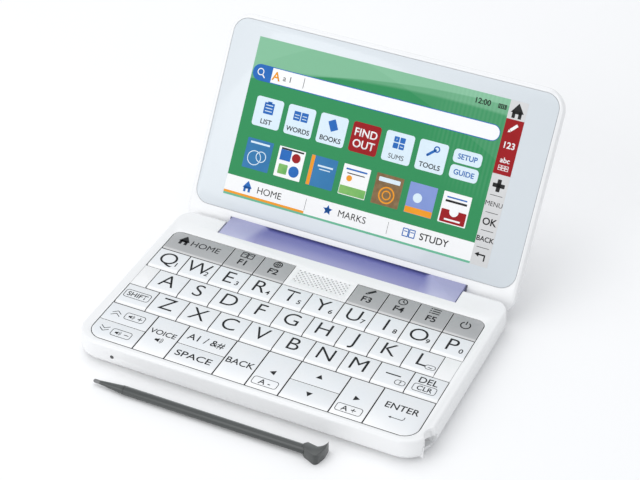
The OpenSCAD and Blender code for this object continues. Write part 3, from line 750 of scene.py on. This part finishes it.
screen_white = lit("screen_white", grey(0.88), grey(0.9))
screen_grey = lit("screen_grey", grey(0.62), grey(0.66))
tile_blue = lit("tile_blue", (0.66, 0.78, 0.86, 1), (0.70, 0.82, 0.90, 1))
sign_blue = lit("sign_blue", (0.02, 0.12, 0.42, 1), (0.03, 0.16, 0.50, 1))
sign_dark = lit("sign_dark", grey(0.02), grey(0.03), glow=0.0)
sign_red = lit("sign_red", (0.28, 0.01, 0.012, 1), (0.36, 0.015, 0.02, 1))
sign_orange = lit("sign_orange", (0.80, 0.30, 0.02, 1), (0.88, 0.34, 0.03, 1))
cover_blue = lit("cover_blue", (0.03, 0.16, 0.36, 1), (0.05, 0.21, 0.44, 1), 8.0)
cover_brown = lit("cover_brown", (0.16, 0.09, 0.04, 1), (0.30, 0.20, 0.10, 1), 2.0)
cover_green = lit("cover_green", (0.10, 0.38, 0.10, 1), (0.30, 0.55, 0.16, 1), 3.0)
cover_dusk = lit("cover_dusk", (0.20, 0.28, 0.60, 1), (0.26, 0.34, 0.66, 1), 8.0)

on_screen("screen_ground", 1, [plate(ground_x, display_h / 2, ground_w, display_h)], ground_green)

# the top line: the time and the battery's charge
top_y = 65.3
charge_x = 50.2
cell_pitch = 0.75
cells = [plate(charge_x - 1.1 + n * cell_pitch, top_y, 0.45, 1.2) for n in range(4)]
charge = [outline(plate(charge_x, top_y, 3.6, 1.9), 0.3), cells]
on_screen("screen_time", 2, [word("12:00", 41.6, top_y + 0.1, 2.2, strong), charge], sign_dark)

# the search bar: a white field in a blue edge, a lens on its blue end, three letters and a cursor
bar_x = -4.1
bar_y = 54.1
bar_w = 112.4
bar_h = 7.0
bar_end = bar_x - bar_w / 2
lens_x = bar_end + 3.7
large_h = 3.6
small_h = 2.4
handle = strokes([(lens_x + 1.0, bar_y - 0.7), (lens_x + 2.1, bar_y - 1.9)], 0.5)
cursor = plate(bar_end + 24.0, bar_y, 0.22, 4.4)
on_screen("screen_search_edge", 2, [plate(bar_x, bar_y, bar_w, bar_h, 3.4)], sign_blue)
on_screen("screen_search", 3, [plate(bar_x + 1.5, bar_y, bar_w - 3.6, bar_h - 0.7, 3.0)], screen_white)
on_screen("screen_search_end", 4, [plate(bar_end + 6.1, bar_y, 5.6, bar_h - 0.1)], sign_blue)
on_screen("screen_lens", 5, [outline(disc(lens_x, bar_y + 0.3, 1.55), 0.38), handle], screen_white)
on_screen("screen_mode", 4, [word("A", bar_end + 11.1, bar_y, large_h, heavy)], sign_orange)
modes = [word("a", bar_end + 15.0, bar_y, small_h), word("1", bar_end + 17.7, bar_y, small_h), cursor]
on_screen("screen_modes", 4, modes, sign_dark)

# the tiles: a sign with a word under it, one of them red, and two pills at the end of the row
tile = 12.7
tile_corner = 1.2
tile_y = 38.1
column_pitch = 15.07
columns = [-49.1 + column_pitch * n for n in range(7)]
clip_x, pages_x, shut_book_x, red_x, blocks_x, wrench_x, pill_x = columns
pill_w = 12.4
pill_h = 5.7
pill_corner = 1.6
pill_up = 3.3
blue_tiles = [plate(x, tile_y, tile, tile, tile_corner) for x in columns if x not in (red_x, pill_x)]
pills = [plate(pill_x, tile_y + side * pill_up, pill_w, pill_h, pill_corner) for side in (-1, 1)]
on_screen("screen_tiles", 2, [blue_tiles, pills], tile_blue)
on_screen("screen_red_tile", 2, [plate(red_x, tile_y, tile, tile, tile_corner)], sign_red)

sign_y = tile_y + 2.0
page_off = 1.75
block_off = 1.35
pill_word_h = 2.1
tile_word_h = 2.0
red_word_h = 3.2
clip = [plate(clip_x, sign_y - 0.1, 4.6, 4.9, 0.3), plate(clip_x, sign_y + 2.4, 2.0, 1.0)]
pages = [plate(pages_x + side * page_off, sign_y, 3.1, 3.9, 0.2) for side in (-1, 1)]
shut_book = plate(shut_book_x, sign_y, 3.4, 4.6, 0.3, 28)
blocks = [plate(blocks_x + side * block_off, sign_y + level * block_off, 2.3, 2.3, 0.3)
          for side in (-1, 1) for level in (-1, 1)]
wrench = [strokes([(wrench_x - 2.0, sign_y - 1.6), (wrench_x + 1.0, sign_y + 1.0)], 1.1),
          outline(disc(wrench_x + 1.5, sign_y + 1.5, 1.4, 14), 0.55)]
pill_words = [word("SETUP", pill_x, tile_y + pill_up, pill_word_h, strong),
              word("GUIDE", pill_x, tile_y - pill_up, pill_word_h, strong)]
on_screen("screen_signs", 3, [clip, pages, shut_book, blocks, wrench, pill_words], sign_blue)

clip_lines = [plate(clip_x, sign_y + lift, 3.2, 0.35) for lift in (-1.3, 0, 1.3)]
page_lines = [plate(pages_x + side * page_off, sign_y + lift, 2.0, 0.3)
              for side in (-1, 1) for lift in (-0.8, 0.4)]
plus = word("+", blocks_x - block_off, sign_y + block_off, 1.0)
minus = plate(blocks_x + block_off, sign_y - block_off, 1.3, 0.3)
on_screen("screen_sign_lines", 4, [clip_lines, page_lines, plus, minus], tile_blue)

names = {"LIST": clip_x, "WORDS": pages_x, "BOOKS": shut_book_x, "SUMS": blocks_x, "TOOLS": wrench_x}
tile_words = [word(name, x, tile_y - 3.9, tile_word_h, firm) for name, x in names.items()]
on_screen("screen_names", 3, tile_words, sign_dark)
red_words = [word("FIND", red_x, tile_y + 2.2, red_word_h, bold),
             word("OUT", red_x, tile_y - 2.6, red_word_h, bold)]
on_screen("screen_red_word", 3, red_words, screen_white)

# the row of cover cards, with plain shapes on them
card_y = 19.7
card_w = 12.2
card_h = 13.0
card_corner = 0.25


def cards(*picked):
    """The blank cards that stand in these columns"""
    return [plate(columns[n], card_y, card_w, card_h, card_corner) for n in picked]


def on_card(n, x, y, width, depth, corner=0.0):
    """A plate on a card, placed from the middle of the card"""
    return plate(columns[n] + x, card_y + y, width, depth, corner)


def spot(n, x, y, radius, sides=28):
    """A disc on a card, placed from the middle of the card"""
    return disc(columns[n] + x, card_y + y, radius, sides)


on_screen("cards_white", 2, cards(1, 3, 6), screen_white)
on_screen("cards_blue", 2, cards(0, 2), cover_blue)
on_screen("cards_brown", 2, cards(4), cover_brown)
on_screen("cards_dusk", 2, cards(5), cover_dusk)
on_screen("card_marks_blue", 3, [
    on_card(1, -2.6, 3.0, 5.0, 4.6), spot(1, 2.6, -3.0, 2.4, 20),
    on_card(3, 0, 4.6, 9.6, 0.7),
    on_card(6, 0, 4.4, 8.8, 0.6),
], sign_blue)
on_screen("card_marks_pale", 3, [
    outline(spot(0, -1.4, -1.6, 3.2), 0.35), outline(spot(0, 1.6, -0.6, 2.4), 0.35),
    on_card(0, 0, 4.9, 9.0, 0.8),
    on_card(2, 1.0, 2.6, 7.0, 0.7), on_card(2, 1.0, 1.2, 5.0, 0.4),
    on_card(4, 0, 4.2, 9.6, 1.8, 0.3),
    spot(5, -1.6, 0.4, 2.0, 20),
], tile_blue)
on_screen("card_marks_warm", 3, [
    on_card(2, -5.2, 0, 1.6, 12.8),
    on_card(5, 0, -5.1, 12.0, 2.6),
    spot(3, -2.6, 0.8, 1.3, 16),
    outline(spot(4, 0, -2.0, 3.6), 0.6), outline(spot(4, 0, -2.0, 2.0), 0.5),
], sign_orange)
on_screen("card_marks_green", 3, [
    on_card(3, 0, -4.4, 11.8, 3.6, 0.3),
    on_card(1, -2.6, -3.0, 4.2, 4.2, 0.4),
], cover_green)
on_screen("card_marks_red", 3, [on_card(6, 0, -3.4, 11.0, 5.4, 0.4), spot(1, 2.4, 2.8, 2.0, 20)], sign_red)
on_screen("card_lines", 4, [
    on_card(3, 0, 2.9, 8.0, 0.4),
    on_card(6, 0, 2.8, 9.4, 0.9),
    on_card(1, 0.2, 5.7, 10.4, 0.7),
], sign_dark)
on_screen("card_dots", 4, [spot(6, 0, -1.2, 2.0, 20), on_card(6, 0, -4.8, 7.0, 0.7)], screen_white)

# three tabs along the lower edge, the first with an orange line, over a thin green foot
tab_foot = 0.9
tab_h = 7.8
tab_word_h = 2.8
tab_sign_x = -8.6
line_h = 1.0
tab_y = tab_foot + tab_h / 2
tab_w = ground_w / 3
tab_x = [ground_x + tab_w * n for n in (-1, 0, 1)]
foot_green = lit("foot_green", (0.13, 0.45, 0.28, 1), (0.16, 0.50, 0.32, 1))
on_screen("screen_tabs", 2, [plate(ground_x, tab_y, ground_w, tab_h)], screen_white)
on_screen("tab_line", 3, [plate(tab_x[0], tab_foot + line_h / 2, tab_w, line_h)], sign_orange)
on_screen("screen_foot", 2, [plate(ground_x, tab_foot / 2, ground_w, tab_foot)], foot_green)
star_points = [disc(tab_x[1] + tab_sign_x, tab_y + 0.3, 2.3, 3, turn, 0.62) for turn in range(0, 360, 72)]
tab_signs = [house(tab_x[0] + tab_sign_x, tab_y + 0.4, 4.2), star_points,
             book(tab_x[2] + tab_sign_x - 0.8, tab_y + 0.3)]
on_screen("tab_signs", 3, tab_signs, sign_blue)
tab_words = [word(name, tab_x[n] + right, tab_y + 0.3, tab_word_h, firm)
             for n, (name, right) in enumerate((("HOME", 1.8), ("MARKS", 2.6), ("STUDY", 1.8)))]
tab_rules = [plate(ground_x + side * tab_w / 2, tab_y, 0.15, 5.0) for side in (-1, 1)]
on_screen("tab_names", 3, [tab_words, tab_rules], sign_dark)

# the strip of touch signs beside the picture, printed on the film: a red block, and signs between rules
strip_w = display_w / 2 - strip_left
strip_x = strip_left + strip_w / 2
red_y = 49.85
red_h = 22.9
keypad_y = 40.6
plus_y = 33.8
plus_w = 5.2
plus_arm = 1.7
rule_w = 5.4
rule_h = 0.22
return_y = 4.6
on_screen("screen_strip", 1, [plate(strip_x, display_h / 2, strip_w, display_h)], screen_grey)
on_screen("strip_red", 2, [plate(strip_x, red_y, strip_w, red_h)], sign_red)
keypad = [outline(plate(strip_x + column * 1.5, keypad_y + row * 1.1, 1.4, 1.0), 0.18)
          for column in (-1, 0, 1) for row in (0, 1)]
red_signs = [pencil_sign(strip_x, 57.8), word("123", strip_x, 50.6, 2.5, bold),
             word("abc", strip_x, 44.4, 2.1, strong), keypad]
on_screen("strip_red_signs", 3, red_signs, screen_white)
plus_sign = [plate(strip_x, plus_y, plus_w, plus_arm, 0.3), plate(strip_x, plus_y, plus_arm, plus_w, 0.3)]
rules = [plate(strip_x, y, rule_w, rule_h) for y in (29.6, 22.3, 14.7, 7.6)]
strip_words = [word("MENU", strip_x, 26.0, 1.9), word("OK", strip_x, 18.5, 2.8, bold),
               word("BACK", strip_x, 11.2, 2.0, firm)]
return_sign = [strokes([(strip_x + 1.6, 2.4), (strip_x + 1.6, return_y), (strip_x - 1.4, return_y)], 0.6),
               arrow(strip_x - 1.6, return_y, 1.2, 90)]
strip_signs = [house(strip_x, 64.6, 5.4), plus_sign, rules, strip_words, return_sign]
on_screen("strip_signs", 2, strip_signs, sign_dark)


# ---- Rubber mat, board and other inner pieces ----
# A moulded mat under the caps, the wired board, the speaker, the wrapped battery and the display's metal
# back. They show through the key gaps, the grille and the sockets, or when the shells are taken apart.
def dull(name, dark, light, size, roughness, depth, metallic=0.0):
    """A plain finish with clouds of this size in it and a grain of this depth, in millimetres"""
    material, place, feed = new_finish(name, {"Metallic": metallic})
    cloud = place.noise(size * mm, 3)
    feed("Base Color", cloud.tint(dark, light))
    feed("Roughness", roughness + cloud * 0.12)
    feed("Normal", place.noise(size * 0.1 * mm, 2).bump(depth * mm))
    return material


mat_rubber = dull("mat_rubber", grey(0.035), grey(0.05), 6, 0.6, 0.01)
moulding("key_mat", "base", mat_rubber, 0.05)
speaker_black = dull("speaker_black", grey(0.02), grey(0.03), 4, 0.5, 0.01)
moulding("speaker", "base", speaker_black, 0.1)
battery_wrap = dull("battery_wrap", grey(0.22, 0.01), grey(0.30, 0.01), 14, 0.3, 0.03, 0.7)
moulding("battery_pack", "base", battery_wrap, 0.2)
display_back = dull("display_back", grey(0.10), grey(0.14), 20, 0.35, 0.005, 0.5)
moulding("display_panel", "lid", display_back, 0.1)

# the board is green with paler tracks between its two faces, and black in the parts soldered to it
board_low = 5.15 * mm
board_top = 6.25 * mm
socket_end = -73.4 * mm
board_green, place, feed = new_finish("board_green", {"Coat Weight": 0.3})
square_cells = {"distance": "CHEBYCHEV", "feature": "F1"}
tracks = place.node("TexVoronoi", {"Vector": place, "Scale": 450.0}, square_cells).step(0.42, 0.46)
height = place.axis("Z")
in_board = height.above(board_low) * (1 - height.above(board_top)) * place.axis("X").above(socket_end)
green = tracks.tint((0.015, 0.14, 0.06, 1), (0.05, 0.24, 0.11, 1))
feed("Base Color", in_board.tint(grey(0.018), green))
feed("Roughness", 0.4 + place.noise(3 * mm) * 0.1)
feed("Normal", tracks.bump(0.02 * mm))
moulding("main_board", "base", board_green, 0.0)


# ---- Screws, hinge pins, feet and indicator ----
# Plated steel screws and turned hinge pins, feet of black rubber that are glued into the lower shell,
# and a smoked plastic window pressed into the front wall.
steel, place, feed = new_finish("steel", {"Metallic": 1.0})
turned = place.noise(0.3 * mm, 4)
feed("Base Color", turned.tint(grey(0.52), grey(0.62)))
feed("Roughness", 0.25 + turned * 0.15)
feed("Normal", turned.bump(0.004 * mm))
moulding("case_screws", "base", steel, 0.06)
moulding("hinge_pins", "base", steel, 0.1)

foot_rubber = dull("foot_rubber", grey(0.03), grey(0.045), 1.5, 0.75, 0.03)
moulding("rubber_feet", "base", foot_rubber, 0.0)

lens_dark, place, feed = new_finish("lens_dark", {"Coat Weight": 1.0, "Coat Roughness": 0.03})
feed("Base Color", place.noise(0.8 * mm).tint(grey(0.006), grey(0.012)))
feed("Roughness", 0.15 + place.noise(0.5 * mm) * 0.1)
moulding("indicator_lens", "base", lens_dark, 0.05)


# ---- Stylus ----
# A moulded pen of satin grey plastic with a paler nib, a tapered nose, a dark joint line behind the nose
# and a hooked head. Its upper rear side carries a long painted highlight, a paler stripe painted where the shaft
# faces the light.
nib_l = 3.1 * mm
nose_l = 10.9 * mm
nib_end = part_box("stylus")[0].x + nib_l
joint_line = nib_end + nose_l
stylus_grey, place, feed = new_finish("stylus_grey", {"Coat Weight": 0.6, "Coat Roughness": 0.28})
along = place.axis("X")
cloud = place.noise(5 * mm, 3)
# painted highlight: faces turned up and back are painted a paler grey, standing in for the light's reflection
# along the shaft
painted_highlight = (place.facing("Y") * 0.75 + place.facing("Z") * 0.66).step(0.55, 1.0)
matt = cloud.tint((0.026, 0.031, 0.030, 1), (0.036, 0.042, 0.041, 1))
shaft = painted_highlight.tint(matt, (0.125, 0.14, 0.138, 1))
past_nib = along.step(nib_end - 0.1 * mm, nib_end)
before_line = along.step(joint_line - 0.3 * mm, joint_line - 0.2 * mm)
past_line = along.step(joint_line + 0.1 * mm, joint_line + 0.2 * mm)
lined_shaft = (before_line - past_line).tint(shaft, grey(0.004))
feed("Base Color", past_nib.tint(grey(0.16), lined_shaft))
feed("Roughness", 0.34 + cloud * 0.1)
feed("Normal", place.noise(0.4 * mm, 2).bump(0.006 * mm))
moulding("stylus", "stylus", stylus_grey, 0.12)
